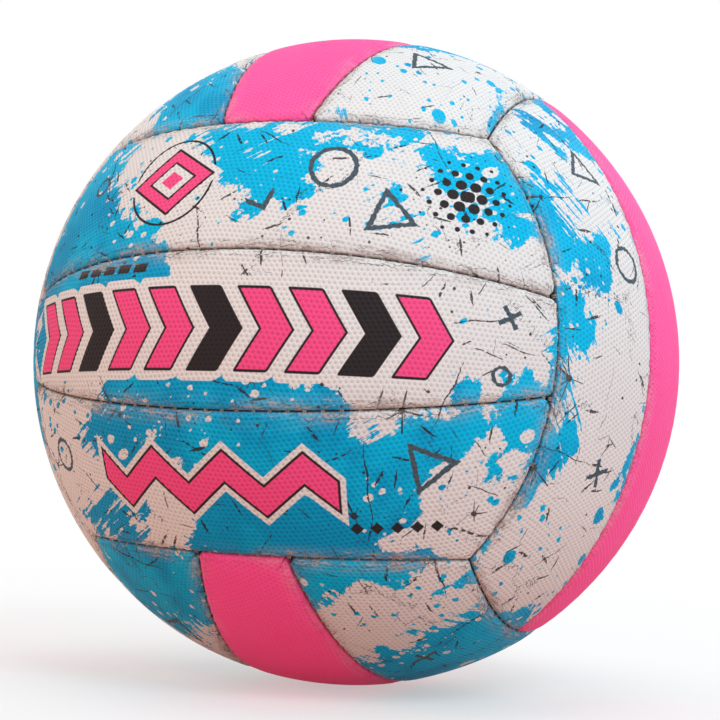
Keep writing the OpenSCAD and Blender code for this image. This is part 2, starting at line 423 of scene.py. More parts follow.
def splashes(f, x, y, c, amount, ink_and_shade_depth):
    """The print's ground: off-white with blue brush splashes and drops, scratched dark."""
    plane = f.vector(x, y)
    u, v = f.turned(x, y, STROKE_ANGLE)
    ragged = f.noise(plane, 0.075, 6.0, 0.62, 0.3) - 0.5
    fine = f.noise(plane, 0.62, 3.0, 0.6) - 0.5
    bristle = f.noise(f.vector(u * 0.035, v * 0.5), 1.0, 4.0, 0.6) - 0.5
    dry = f.ramp(f.noise(f.vector(x, y + 500.0), 0.022, 2.0), 0.46, 0.62) * 3.0 + 0.5
    score = splash_score(f, plane, amount)
    score = score + ragged * 2.4 + bristle * dry + fine * 0.6
    blue = f.ramp(score, -0.035, 0.035)

    # Drops thrown off the splashes: blue on the white, white on the blue
    stretched = f.vector(u * DROP_STRETCH, v)
    for scale, largest, reach, share in ((0.085, 2.8, 1.6, 0.42), (0.26, 1.2, 1.2, 0.3)):
        far, tint, _, _, centre = f.cells(stretched, scale)
        cu, cv, _ = f.parts(centre)
        cx, cy = f.turned(cu / DROP_STRETCH, cv, -STROKE_ANGLE)
        home = splash_score(f, f.vector(cx, cy), amount)
        size = tint[0] * tint[0] * largest
        drop = f.inside(far - size + fine * 1.2 + ragged * 1.1, 0.1)
        drop = drop * f.above(tint[1], share) * f.above(reach, f.size_of(home))
        drop = drop * f.above(f.noise(f.vector(cx, cy + 900.0), 0.028, 1.0), 0.46)
        blue = blue * (1.0 - drop) + (1.0 - f.above(home, 0.0)) * drop

    # Deeper blue where the ink lies thick at random, and towards the main print's lower left,
    # partly as painted shade
    thick = f.noise(plane, 0.04, 4.0, 0.6) + ink_and_shade_depth
    ink = f.mix(f.ramp(thick, 0.40, 0.68), c.blue[:], c.deep_blue[:])
    soiled = f.noise(plane, 0.03, 3.0, 0.6)
    clean, dull = (tuple(share * part for part in c.white) for share in (1.03, 0.94))
    ground = f.mix(soiled, clean, dull)
    colour = f.mix(blue, ground, ink)

    # Scratches: short dark strokes, one to a cell, tapering to both ends
    marks = []
    for scale, length, width, share, seed in ((0.062, 8.0, 0.36, 0.55, 0.0),
                                              (0.038, 15.0, 0.5, 0.5, 700.0),
                                              (0.12, 3.4, 0.55, 0.42, 1500.0)):
        _, tint, dx, dy, _ = f.cells(f.vector(x + seed, y - seed * 0.7), scale)
        angle = tint[0] * (2 * math.pi)
        cosine, sine = f.calc("COSINE", angle), f.calc("SINE", angle)
        along = dx * cosine + dy * sine
        across = dy * cosine - dx * sine + f.calc("SINE", along * 0.5) * 0.3 + fine * 0.9
        taper = 1.0 - (along / length) * (along / length)
        stroke = f.size_of(across) - taper * tint[2] * width
        marks.append(f.inside(stroke, 0.08) * f.above(tint[1], share))

    # Long hair cracks, broken off by a coarse mask
    warp = f.vector(x + ragged * 26.0, y + bristle * 22.0)
    _, border = f.voronoi(warp, 0.021, "DISTANCE_TO_EDGE")
    hair = f.ramp(border, 0.26, 0.1)
    hair = hair * f.above(f.noise(f.vector(x - 900.0, y), 0.035, 2.0), 0.5)
    chips = f.noise(plane, 0.75, 2.0, 0.6)
    marks = f.maximum(*marks, hair) * f.ramp(chips, 0.40, 0.43)

    # Ink blots with thrown spikes
    far, tint, dx, dy, _ = f.cells(f.vector(x + 300.0, y + 200.0), 0.032)
    reach = f.maximum(far, 0.01)
    spikes = f.noise(f.vector(dx / reach * 3.4, dy / reach * 3.4, tint[0] * 40.0), 1.0, 1.0)
    spikes = f.maximum(spikes - 0.5, 0.0)
    blot = reach - tint[2] * 1.2 - spikes * spikes * 150.0 * tint[2] + fine * 1.2
    blots = f.inside(blot, 0.08) * f.above(tint[1], 0.5)
    far, tint, _, _, _ = f.cells(f.vector(x - 50.0, y + 90.0), 0.16)
    specks = f.inside(far - tint[0] * 0.55 + fine, 0.08) * f.above(tint[1], 0.66)
    marks = f.maximum(marks, blots, specks)
    return f.mix(marks * 0.93, colour, c.charcoal[:])


def halftone(f, u, v, radius, pitch, largest):
    """A round patch of dots in staggered rows that shrink outwards"""
    row_pitch = pitch * 0.866
    row = f.calc("FLOOR", v / row_pitch + 0.5)
    shift = f.calc("FLOORED_MODULO", row, 2.0) * 0.5
    column = f.calc("FLOOR", u / pitch + shift + 0.5)
    dot_u, dot_v = (column - shift) * pitch, row * row_pitch
    fade = 1.0 - f.root_of_squares(dot_u, dot_v) / radius
    return f.root_of_squares(u - dot_u, v - dot_v) - fade * largest


def loose_marks(f, x, y, colour, figures):
    """Draws small figures with a rough outline. Each is given by its kind, its place, its
    size, half its line's width and its turn in degrees."""
    wobble = f.noise(f.vector(x, y), 0.55, 3.0) * 1.6 - 0.8
    for figure, cx, cy, size, half_width, degrees in figures:
        u, v = f.turned(x - cx, y - cy, degrees)
        distance = figure(f, u, v, size, half_width)
        colour = f.mix(f.inside(distance + wobble), colour, LOOSE_INK)
    return colour


def repeated(f, x, pitch, low, high):
    """The way from the nearest place of a row, and that place's number, low to high"""
    number = f.calc("FLOOR", x / pitch + 0.5)
    number = f.minimum(f.maximum(number, low), high)
    return x - number * pitch, number


def print_upper(f, x, y, colour, c):
    """A pink diamond on a thin ring on the left, a patch of dots on the right"""
    cx, cy = -26.0, 48.0
    u, v = f.turned(x - cx, y - cy, 6)
    diamond = (f.size_of(u) * 0.8 + f.size_of(v)) * 0.76
    dots = halftone(f, x - 70.0, y - 47.0, 19.0, 4.7, 2.5)
    colour = layered(f, colour, [
        (dots, c.charcoal[:]),
        (ring(f, x - cx, y - cy, 15.6, 0.4), c.charcoal[:]),
        *((diamond - half, ink) for half, ink in (
            (11.5, c.white[:]), (9.7, c.charcoal[:]), (8.9, c.print_pink[:]),
            (5.6, c.charcoal[:]), (4.9, c.white[:]), (2.6, c.print_pink[:])))])
    return loose_marks(f, x, y, colour, (
        (ring, 28.0, 52.0, 7.0, 0.8, 0), (triangle, 47.0, 37.0, 8.0, 0.75, 12.0),
        (ring, -63.0, 52.0, 3.4, 0.6, 0), (chevron, 8.0, 39.0, 4.6, 0.8, 205.0)))


def print_middle(f, x, y, colour, c):
    """A row of chevrons along the strip, every third one charcoal and the others pink"""
    row = y + x * x * 0.0002
    pointed = x + f.size_of(row) * 0.62
    step, number = repeated(f, pointed - 2.0, 15.4, -5.0, 4.0)
    figures = box(f, step, row, 5.3, 12.6, 0.8)
    dark = f.above(0.5, f.calc("FLOORED_MODULO", number, 3.0))
    ink = f.mix(dark, c.print_pink[:], c.charcoal[:])
    colour = layered(f, colour, [(figures - 2.8, c.white[:]), (figures, c.charcoal[:]),
                                 (figures + 0.85, ink)])
    step, _ = repeated(f, x - y * 0.3 + 50.0, 7.0, -2.0, 2.0)
    colour = layered(f, colour, [(box(f, step, y - 18.6, 2.6, 1.4, 0.3), c.charcoal[:])])
    return loose_marks(f, x, y, colour, (
        (plus_sign, 86.0, 8.0, 4.2, 0.75, 30.0), (ring, 84.0, -11.0, 2.8, 0.6, 0)))


def print_lower(f, x, y, colour, c):
    """A pink zigzag ribbon with a dark outline and a row of small diamonds beside it"""
    row = y + 46.0
    fold = f.size_of(f.calc("FLOORED_MODULO", x / 12.5, 2.0) - 1.0) * 12.5 - 6.25
    ribbon = (f.size_of(row - fold * 0.86) - 4.5) * 0.758
    ribbon = f.maximum(ribbon, f.size_of(x + 6.25) - 41.1)
    colour = layered(f, colour, [(ribbon - 2.5, c.white[:]), (ribbon - 0.8, c.charcoal[:]),
                                 (ribbon, c.print_pink[:])])
    step, _ = repeated(f, x - 52.0, 6.2, -2.0, 2.0)
    bits = (f.size_of(step) + f.size_of(y + 60.0)) * 0.71 - 1.5
    colour = layered(f, colour, [(bits, c.charcoal[:])])
    return loose_marks(f, x, y, colour, (
        (triangle, 62.0, -40.0, 8.4, 0.8, 160.0), (ring, -74.0, -42.0, 5.4, 0.7, 0)))


def print_side(f, x, y, colour, c):
    """Loose figures of the groups that carry no main print"""
    return loose_marks(f, x, y, colour, (
        (ring, 30.0, 36.0, 5.6, 0.7, 0), (plus_sign, -38.0, 44.0, 5.0, 0.8, 20.0),
        (triangle, 64.0, 40.0, 7.4, 0.7, 20.0), (plus_sign, 24.0, -46.0, 5.4, 0.8, 10.0),
        (triangle, -52.0, -40.0, 8.0, 0.8, 200.0), (chevron, -10.0, -38.0, 4.6, 0.7, 40.0)))


def cover_material(name, artwork, c, sizes, amount):
    """A dimpled skin: its print or plain colour, the dimples, and the worn, wrinkled edge. The
    amount raises the share of blue."""
    f = Finish(name)
    x, y = f.map("Print")
    x0 = x - f.calc("FLOOR", x / PRINT_STEP + 0.5) * PRINT_STEP
    if artwork is None:
        tone = f.noise(f.vector(x, y), 0.05, 3.0, 0.6)
        pale = tuple(min(1.0, v * 1.08) for v in c.pink)
        colour = f.mix(f.ramp(tone, 0.3, 0.7), c.pink[:], pale)
        wear, pit_shade_share, rubbed = 0.3, 0.25, (0.90, 0.40, 0.50)
    else:
        # The main print's blue deepens towards its lower left: partly thicker ink, partly painted
        # shade
        ink_and_shade_depth = 0.0 if artwork is print_side else x0 * -0.0022 - y * 0.003
        colour = splashes(f, x, y, c, amount, ink_and_shade_depth)
        colour = artwork(f, x0, y, colour, c)
        if artwork is print_middle:
            valve = f.root_of_squares(x - PRINT_STEP, y)
            colour = layered(f, colour, [(valve - 10.4, c.white[:]),
                                         (f.size_of(valve - 8.6) - 0.35, c.charcoal[:])])
        wear, pit_shade_share, rubbed = 1.0, 0.36, c.worn[:]

    # Dimples in staggered rows
    u, v = f.map("Grip")
    pitch = sizes.dimple_pitch / MM
    double_row = pitch * math.sqrt(3)
    rows = []
    for shift in (0.0, 0.5):
        du = f.calc("FRACT", u / pitch + shift) - 0.5
        dv = f.calc("FRACT", v / double_row + shift) - 0.5
        rows.append(f.root_of_squares(du * pitch, dv * double_row))
    far = f.minimum(*rows)
    pit, bowl = f.ramp(far, 0.54, 0.14), f.ramp(far, 0.86, 0.1)

    # The edge beside a seam: flaked print, scalloped cracks, wrinkles and a groove that is darker
    # at its bottom
    along, gap = f.map("Seam")
    edge = f.ramp(gap, 5.0, 0.5)
    near = f.ramp(gap, 4.4, 0.8)
    patch = f.noise(f.vector(along * 0.05, gap * 0.1), 1.0, 2.0)
    grain = f.noise(f.vector(u, v), 2.6, 3.0, 0.6)
    flaking = f.noise(f.vector(along * 0.26, gap * 1.25), 1.0, 4.0, 0.66)
    flakes = f.ramp(flaking + near * 0.13 + patch * 0.6, 0.94, 1.02) * f.above(near, 0.02)
    scallop = f.size_of(f.calc("SINE", along * (math.pi / 2.6)))
    drag = f.noise(f.vector(along * 0.33, gap * 0.2, 4.0), 1.0, 3.0, 0.6)
    lines = []
    for start, shift in ((0.75, 0.0), (1.9, 30.0)):
        line = f.size_of(gap - start - scallop * 0.45 - (drag - 0.5) * 3.0)
        seen = f.noise(f.vector(along * 0.16 + shift, gap * 0.16), 1.0, 2.0)
        lines.append(f.ramp(line, 0.15, 0.04) * f.ramp(seen, 0.5, 0.54))
    lines = f.maximum(*lines)
    scuffs = f.ramp(gap, 6.5, 0.8) * f.ramp(patch + grain * 0.3, 0.5, 0.8)
    colour = f.mix(scuffs * 0.26, colour, rubbed)
    colour = f.mix(flakes * (0.7 * wear), colour, c.worn[:])
    colour = f.mix(lines * (0.75 * wear), colour, CRACK_DIRT)
    # Darker down in the seam's groove
    colour = f.mix(f.ramp(gap, 0.7, 0.12) * 0.6, colour, GROOVE_DARKENING)
    # Painted shade: the colour darkens in each dimple's pit
    shade = f.mix(pit * pit_shade_share, (1.0, 1.0, 1.0), DIMPLE_SHADE)
    colour = f.mix(1.0, colour, shade, "MULTIPLY")
    wrinkle = f.noise(f.vector(along * 0.95, gap * 0.3), 1.0, 3.0, 0.6)
    drawn = f.ramp(gap, 3.4, 2.4) * 0.6 + 0.4
    height = (grain * 0.03 + wrinkle * edge * 0.75 - flakes * 0.04 - lines * 0.08
              - bowl * (1.9 * sizes.dimple_depth / MM) * drawn * (1.0 - near * 0.65))
    roughness = 0.46 + grain * 0.12 + edge * 0.06
    if artwork is None:
        # Painted light: the pink skin glows by itself
        f.shader.inputs["Emission Color"].default_value = PAINTED_LIGHT_COLOUR
        f.shader.inputs["Emission Strength"].default_value = PAINTED_LIGHT_STRENGTH
    f.done(colour, roughness, height, specular=0.1)


def thread_material(c):
    f = Finish("Waxed thread")
    place = f.place()
    dirt = f.noise(place, 900.0, 3.0, 0.6)
    fibre = f.noise(place, 5000.0, 2.0, 0.6)
    colour = f.mix(f.ramp(dirt, 0.35, 0.65), (0.20, 0.13, 0.09), c.thread[:])
    f.done(colour, 0.55 + fibre * 0.1, fibre * 0.1)


def foam_material():
    f = Finish("Closed-cell foam")
    cells = f.noise(f.place(), 1400.0, 3.0, 0.6)
    colour = f.mix(cells, (0.72, 0.66, 0.50), (0.90, 0.86, 0.74))
    return f.done(colour, 0.85 + cells * 0.05, cells * 0.25)


def lining_material():
    """Plain weave: two sets of yarns that pass over each other"""
    f = Finish("Woven lining")
    x, y, z = f.parts(f.place())
    warp = f.calc("SINE", (x + z) * 7000.0)
    weft = f.calc("SINE", (y - z) * 7000.0)
    weave = warp * weft * 0.5 + 0.5
    colour = f.mix(weave, (0.52, 0.52, 0.49), (0.80, 0.80, 0.77))
    return f.done(colour, 0.8 + weave * 0.05, weave * 0.12)


def rubber_material(name, dark, pale, roughness):
    f = Finish(name)
    place = f.place()
    bloom = f.noise(place, 260.0, 4.0, 0.6)
    grain = f.noise(place, 2600.0, 2.0, 0.5)
    colour = f.mix(f.ramp(bloom, 0.3, 0.75), dark, pale)
    return f.done(colour, roughness + bloom * 0.12, grain * 0.05)


# Panel shapes

def unit(v):
    return v / np.linalg.norm(v, axis=-1, keepdims=True)


def panel_walls(middle):
    """The four seams round a panel in its group's frame, as (normal, angle, side, centre):
    the -X end, the +X end, and the seams at the low and the high Y side. The centre is the
    direction of the seam's middle."""
    cl, sl = math.cos(LEAN), math.sin(LEAN)
    ch, sh = math.cos(STRIP_HALF), math.sin(STRIP_HALF)
    walls = [((-sl, 0, cl), SEAM_ANGLE, 1), ((sl, 0, cl), SEAM_ANGLE, 1)]
    if middle:
        walls += [((0, -ch, -sh), math.pi / 2, -1), ((0, ch, -sh), math.pi / 2, -1)]
    else:
        walls += [((0, -ch, sh), math.pi / 2, -1), ((0, cl, sl), SEAM_ANGLE, -1)]
    out = []
    for (normal, angle, side), towards in zip(walls, ((-1, 0, 0), (1, 0, 0), (0, 0, 1), (0, 0, 1))):
        normal, towards = np.array(normal, float), np.array(towards, float)
        out.append((normal, angle, side, unit(towards - normal * (normal @ towards))))
    return out


def wall_distance(p, wall):
    normal, angle, side, _ = wall
    return BALL_R * side * (angle - np.arccos(np.clip(p @ normal, -1, 1)))


def wall_inwards(p, wall):
    normal, _, side, _ = wall
    return side * unit(normal - (p @ normal)[..., None] * p)


def wall_along(p, wall):
    """Millimetres along a seam from its middle"""
    normal, angle, _, towards = wall
    other = np.cross(normal, towards)
    return BALL_R * math.sin(angle) * np.arctan2(p @ other, p @ towards)


def inside_corner(first, second, inset):
    """The point that lies so far inside both of two seams that meet"""
    p = unit(2 * (first[0] * math.cos(first[1]) + first[3] * math.sin(first[1]))
             + second[0] * math.cos(second[1]) + second[3] * math.sin(second[1]))
    for _ in range(20):
        g, h = wall_inwards(p, first), wall_inwards(p, second)
        e, f = inset - wall_distance(p, first), inset - wall_distance(p, second)
        c = g @ h
        p = unit(p + ((e - c * f) * g + (f - c * e) * h) / (1 - c * c) / BALL_R)
    return p


def panel_band(middle, corner, edge):
    """Rows of points round a panel, at the given distances from its outline, whose corners
    are rounded. The rows run anticlockwise and have the same number of points."""
    walls = panel_walls(middle)
    around = [walls[2], walls[1], walls[3], walls[0]]
    edge = np.asarray(edge)[:, None]
    centres = []
    for number, wall in enumerate(around):
        after = around[(number + 1) % 4]
        ends_first = (wall, after) if number in (1, 3) else (after, wall)
        centres.append(inside_corner(*ends_first, corner))
    parts = []
    for number, wall in enumerate(around):
        normal, angle, side, towards = wall
        other = np.cross(normal, towards)
        low, high = (math.atan2(c @ other, c @ towards)
                     for c in (centres[number - 1], centres[number]))
        count = round(BALL_R * math.sin(angle) * abs(high - low) / BAND_STEP)
        turn = np.linspace(low, high, count + 1)
        tilt = (angle - side * edge / BALL_R)[..., None]
        ray = np.cos(turn)[:, None] * towards + np.sin(turn)[:, None] * other
        parts.append(np.cos(tilt) * normal + np.sin(tilt) * ray)
        centre = centres[number]
        start = -wall_inwards(centre, wall)
        stop = -wall_inwards(centre, around[(number + 1) % 4])
        whole = math.acos(start @ stop)
        part = np.linspace(0, whole, CORNER_STEPS + 1)[1:-1, None]
        ray = (np.sin(whole - part) * start + np.sin(part) * stop) / math.sin(whole)
        reach = ((corner - edge) / BALL_R)[..., None]
        parts.append(np.cos(reach) * centre + np.sin(reach) * ray)
    return np.concatenate(parts, axis=1)


def on_sphere(theta, phi):
    return np.stack([np.sin(theta), np.cos(theta) * np.sin(phi), np.cos(theta) * np.cos(phi)], -1)


def laid_flat(p, middle):
    """The panel's flat pattern, in millimetres: X along the strip, Y across it"""
    theta = np.arcsin(p[..., 0])
    phi = np.arctan2(p[..., 1], p[..., 2]) - (0.0 if middle else SIDE_MIDDLE)
    return np.stack([theta, phi * np.cos(theta)], -1) * BALL_R


def laid_round(q, middle):
    theta = q[..., 0] / BALL_R
    phi = q[..., 1] / BALL_R / np.cos(theta) + (0.0 if middle else SIDE_MIDDLE)
    return on_sphere(theta, phi)


def uneven(grip):
    """The slight waves in the sheet's rows of dimples"""
    u, v = grip[..., 0], grip[..., 1]
    return grip + np.stack([0.55 * np.sin(v / 9 + 0.6) + 0.3 * np.sin(u / 13 + v / 8),
                            0.5 * np.sin(u / 11 + 2.1) + 0.3 * np.sin(u / 7 - v / 9)], -1)


def rounded_gap(p, walls, corner):
    """The distance to the panel's outline, whose corners are rounded"""
    gaps = np.stack([wall_distance(p, wall) for wall in walls])
    ends, sides = gaps[:2].min(0), gaps[2:].min(0)
    turn = corner - np.hypot(corner - ends, corner - sides)
    return np.where((ends < corner) & (sides < corner), turn, np.minimum(ends, sides))


def hole_circle(radius):
    turn = np.arange(HOLE_SIDES) * 2 * math.pi / HOLE_SIDES
    return np.stack([np.cos(turn), np.sin(turn)], -1) * radius


class Sheet:
    """One side of a panel: a band of rows along the seams, and a staggered net inside it.
    The net's every other point in every other row is the bottom of a dimple."""

    def __init__(self, middle, corner, rows, step, hole):
        walls = panel_walls(middle)
        band = panel_band(middle, corner, rows[:BAND_ROWS, 0])
        count, around = band.shape[:2]
        index = np.arange(count * around).reshape(count, around)
        following = np.roll(index, -1, axis=1)
        quads = np.stack([index[:-1], following[:-1], following[1:], index[1:]], -1)
        quads = quads.reshape(-1, 4)
        band = band.reshape(-1, 3)
        self.foot, brim = index[0], index[-1]

        # The staggered net, cut off short of the band and of the hole
        reach_u, reach_v = BALL_R * END_REACH * 1.1, BALL_R * math.radians(22)
        rise = step * math.sqrt(3) / 2
        n = np.arange(-int(reach_v / rise), int(reach_v / rise) + 1)
        m = np.arange(-int(reach_u / step) - len(n), int(reach_u / step) + len(n) + 1)
        m, n = np.meshgrid(m, n, indexing="ij")
        net = np.stack([(m + n / 2) * step, n * rise], -1)
        pits = (m % 2 == 0) & (n % 2 == 0)
        fits = abs(net[..., 0]) < reach_u
        net, pits = net[fits], pits[fits]
        flat = uneven(net)
        gap = rounded_gap(laid_round(flat, middle), walls, corner)
        clear = step * 0.45
        inside = gap > rows[count - 1, 0] + clear
        if hole:
            inside &= np.hypot(*flat.T) > hole + clear
        net, flat, pits = net[inside], flat[inside], pits[inside]

        rim = hole_circle(hole) if hole else np.empty((0, 2))
        points = np.concatenate([laid_flat(band[brim], middle), rim, flat])
        edges = [(start + k, start + (k + 1) % size)
                 for start, size in ((0, len(brim)), (len(brim), len(rim)))
                 for k in range(size)]
        out = delaunay_2d_cdt([Vector(q) for q in points], edges, [], 1, 1e-6)
        source = np.array([ids[0] for ids in out[3]])
        triangles = source[np.array(out[2])]
        on_rim = (triangles >= len(brim)) & (triangles < len(brim) + len(rim))
        triangles = triangles[~on_rim.all(axis=1)]
        a, b, c = (points[triangles[:, k]] for k in range(3))
        turned = np.cross(b - a, c - a) < 0
        triangles[turned] = triangles[turned][:, ::-1]
        place = np.concatenate([brim, len(band) + np.arange(len(rim) + len(flat))])
        self.rim = len(band) + np.arange(len(rim))
        self.faces = quads.tolist() + place[triangles].tolist()
        self.p = np.concatenate([band, laid_round(np.concatenate([rim, flat]), middle)])
        drop = np.interp(rounded_gap(self.p[len(band):], walls, corner), rows[:, 0], rows[:, 1])
        self.depth = np.concatenate([np.repeat(rows[:count, 1], around), drop])
        self.pit = np.zeros(len(self.p))
        self.pit[len(band) + len(rim):] = pits
        flat_band = laid_flat(self.p[:len(band) + len(rim)], middle)
        grip = flat_band - (uneven(flat_band) - flat_band)
        self.grip = np.concatenate([grip, net])


def side_by_side(rows, thickness):
    """The edge's profile moved inwards by the skin's thickness"""
    step = np.gradient(rows, axis=0)
    across = np.stack([-step[:, 1], step[:, 0]], -1)
    across /= np.linalg.norm(across, axis=-1, keepdims=True)
    return rows + across * thickness


def panel_blank(middle, holed, sizes):
    """Both sides of one kind of panel, joined round the hem and round the valve hole: the
    points' places on the unit sphere, their depths, pits and flat pattern, and the faces"""
    corner, thickness = sizes.corner_radius / MM, sizes.skin_thickness / MM
    hole = sizes.valve_hole / 2 / MM if holed else 0.0
    rows = np.array(EDGE_ROWS)
    inner_rows = side_by_side(rows, thickness)
    outer = Sheet(middle, corner, rows, sizes.dimple_pitch / MM / 2,
                  hole + RIM_ROWS[0][0] if holed else 0.0)
    inner = Sheet(middle, corner, inner_rows, INNER_STEP, hole)
    inner.pit[:] = 0
    shift = len(outer.p)
    faces = outer.faces + [[v + shift for v in face[::-1]] for face in inner.faces]
    parts = [(side.p, side.depth, side.pit, side.grip) for side in (outer, inner)]

    def bridge(first, second):
        a, b = np.roll(first, -1), np.roll(second, -1)
        return np.stack([first, a, b, second], -1).tolist()

    faces += bridge(inner.foot + shift, outer.foot)
    if holed:
        ring_ids, count = outer.rim, shift + len(inner.p)
        for wider, drop in RIM_ROWS[1:]:
            q = hole_circle(hole + wider)
            parts.append((laid_round(q, middle), np.full(HOLE_SIDES, drop),
                          np.zeros(HOLE_SIDES), q))
            after = count + np.arange(HOLE_SIDES)
            faces += bridge(ring_ids, after)
            ring_ids, count = after, count + HOLE_SIDES
        faces += bridge(ring_ids, inner.rim + shift)
    return [np.concatenate(part) for part in zip(*parts)] + [faces]


def ripple(x, seed):
    """A smooth random wave along a seam"""
    rng = np.random.default_rng(seed)
    out = np.zeros_like(x)
    for step in (2.4, 3.7, 6.1, 9.7):
        out += np.sin(x * 2 * math.pi / step + rng.uniform(0, 6.28)) * rng.uniform(0.5, 1)
    return out / 3


BLANKS = {}


def make_panel(group, strip, material, slot_name):
    """One panel: a dimpled sheet pressed into a domed strip with rolled, stitched edges."""
    sizes = bpy.context.scene.netball_sizes
    place = GROUP_STRIPS[group].index(strip)
    middle, holed = place == 1, (group, strip) == ("back", "middle")
    if (middle, holed) not in BLANKS:
        BLANKS[middle, holed] = panel_blank(middle, holed, sizes)
    p, depth, pit, grip, faces = BLANKS[middle, holed]
    walls = panel_walls(middle)
    gaps = np.stack([wall_distance(p, wall) for wall in walls])
    runs = np.stack([wall_along(p, wall) for wall in walls])
    nearest = gaps.argmin(0)[None]
    gap = np.take_along_axis(gaps, nearest, 0)[0]
    run = np.take_along_axis(runs, nearest, 0)[0]
    name = f"panel_{group}_{strip}"
    seed = sum(map(ord, name))

    # Each stitch pulls the edge in, and the skin lies in small uneven puckers between them.
    pitch = sizes.stitch_pitch / MM
    pull = np.exp(-np.maximum(gap - 0.3, 0) / PULL_REACH)
    pull = pull * (0.5 + 0.5 * np.cos(2 * math.pi * run / pitch))
    pucker = np.zeros_like(gap)
    for number in range(4):
        fade = np.exp(-np.maximum(gaps[number], 0) / PUCKER_REACH)
        pucker += fade * ripple(runs[number], seed + number)
    roomy = np.clip(gap / 0.4, 0, 1)
    swell = SWELL * np.sin(p[:, 0] * 7 + seed) * np.cos(p[:, 1] * 9 + 2 * seed)
    depth = (depth + (pull * sizes.pucker_depth / MM + pucker * PUCKER) * roomy + SETBACK
             - swell * np.clip(gap / 12, 0, 1) + pit * sizes.dimple_depth / MM)
    turn = np.array((-1, -1, 1) if place == 2 else (1, 1, 1))
    axes = np.array(GROUP_AXES[group], float)
    world = (p * (BALL_R - depth)[:, None] * turn) @ axes * MM

    # The print's map follows the group: distance and bearing from its middle
    local = p * turn
    reach = np.arccos(np.clip(local[:, 2], -1, 1)) * BALL_R
    flat = local[:, :2] / np.maximum(np.linalg.norm(local[:, :2], axis=-1, keepdims=True), 1e-9)
    printed = flat * reach[:, None] + (PRINT_STEP * list(GROUP_AXES).index(group), 0)
    mesh = bpy.data.meshes.new(name)
    mesh.from_pydata(world, [], faces)
    corners = np.empty(len(mesh.loops), int)
    mesh.loops.foreach_get("vertex_index", corners)
    for label, values in (("Grip", grip), ("Print", printed), ("Seam", np.stack([run, gap], -1))):
        layer = mesh.uv_layers.new(name=label)
        layer.data.foreach_set("uv", (values[corners] / MAP_UNIT).ravel())
    obj = bpy.data.objects.new(name, mesh)
    bpy.context.scene.collection.objects.link(obj)
    bpy.ops.object.select_all(action="DESELECT")
    bpy.context.view_layer.objects.active = obj
    obj.select_set(True)
    bpy.ops.object.shade_smooth_by_angle(angle=math.radians(50))
    finish_piece(obj, material, slot_name, f"skin_{group}_{strip}")


def finish_piece(obj, material, slot_name, *nodes):
    obj.data.materials.clear()
    obj.data.materials.append(material)
    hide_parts(*nodes)
    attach(obj, "root")


# Stitches

def one_stitch(name, sizes):
    """One stitch: two strands side by side, each the top of a small ring across the seam"""
    width, radius, cut = sizes.thread_width, 0.8 * MM, 0.6 * MM
    bpy.ops.object.select_all(action="DESELECT")
    strands = []
    for side in (-0.56, 0.56):
        bpy.ops.mesh.primitive_torus_add(
            major_radius=radius, minor_radius=width / 2, major_segments=14, minor_segments=6,
            rotation=(math.pi / 2, 0, 0), location=(0, side * width, -radius))
        strands.append(bpy.context.object)
        bpy.ops.object.transform_apply()
        bpy.ops.object.mode_set(mode="EDIT")
        bpy.ops.mesh.select_all(action="SELECT")
        bpy.ops.mesh.bisect(plane_co=(0, 0, -cut), plane_no=(0, 0, 1), use_fill=True,
                            clear_inner=True)
        bpy.ops.object.mode_set(mode="OBJECT")
    for strand in strands:
        strand.select_set(True)
    bpy.ops.object.join()
    bpy.ops.object.shade_smooth_by_angle(angle=math.radians(60))
    stitch = bpy.context.object
    stitch.name = name
    return stitch


def seam_run(normal, angle, towards, half_length, pitch):
    """Points along a seam, each with its outward, along and across directions"""
    other = np.cross(normal, towards)
    count = int(half_length / pitch)
    for number in range(-count, count + 1):
        azimuth = number * pitch / (BALL_R * math.sin(angle))
        heading = towards * math.cos(azimuth) + other * math.sin(azimuth)
        out = normal * math.cos(angle) + heading * math.sin(angle)
        along = other * math.cos(azimuth) - towards * math.sin(azimuth)
        yield out, along, np.cross(out, along)


def sewn(name, runs, sizes, thread, node):
    """Copies one stitch, with its own mesh, to every place along the seams"""
    first = one_stitch(name, sizes)
    rng = np.random.default_rng(5)

    # Each stitch wanders a little from its place and leans a little.
    places = []
    for out, along, across in runs:
        wander = rng.normal(0, 0.1, 3)
        height = BALL_R - STITCH_SINK + wander[2] * 0.6
        centre = (out * height + along * wander[0] * 3) * MM
        skew = rng.normal(0, 0.16)
        a = across * math.cos(skew) + along * math.sin(skew)
        turn = Matrix((a, np.cross(out, a), out)).transposed().to_4x4()
        places.append(Matrix.Translation(centre) @ turn)
    bpy.ops.object.select_all(action="DESELECT")
    for place in places[1:]:
        copy = first.copy()
        copy.data = first.data.copy()
        copy.matrix_world = place
        bpy.context.scene.collection.objects.link(copy)
        copy.select_set(True)
    first.data.transform(places[0])
    first.select_set(True)
    bpy.context.view_layer.objects.active = first
    bpy.ops.object.join()
    finish_piece(first, thread, "thread", node)


def materials():
    """Makes the covers' and the thread's materials once, and gives a way to find them."""
    scene = bpy.context.scene
    colours, sizes = scene.netball_colours, scene.netball_sizes
    found = bpy.data.materials.get
    if found("Pink skin") is None:
        for name, artwork, blue in (
                ("Pink skin", None, 0.0), ("Print of the upper strips", print_upper, 0.2),
                ("Print of the middle strips", print_middle, 0.0),
                ("Print of the lower strips", print_lower, 0.05),
                ("Print of the side groups", print_side, 0.15)):
            cover_material(name, artwork, colours, sizes, blue)
        thread_material(colours)
    return found


# Studio

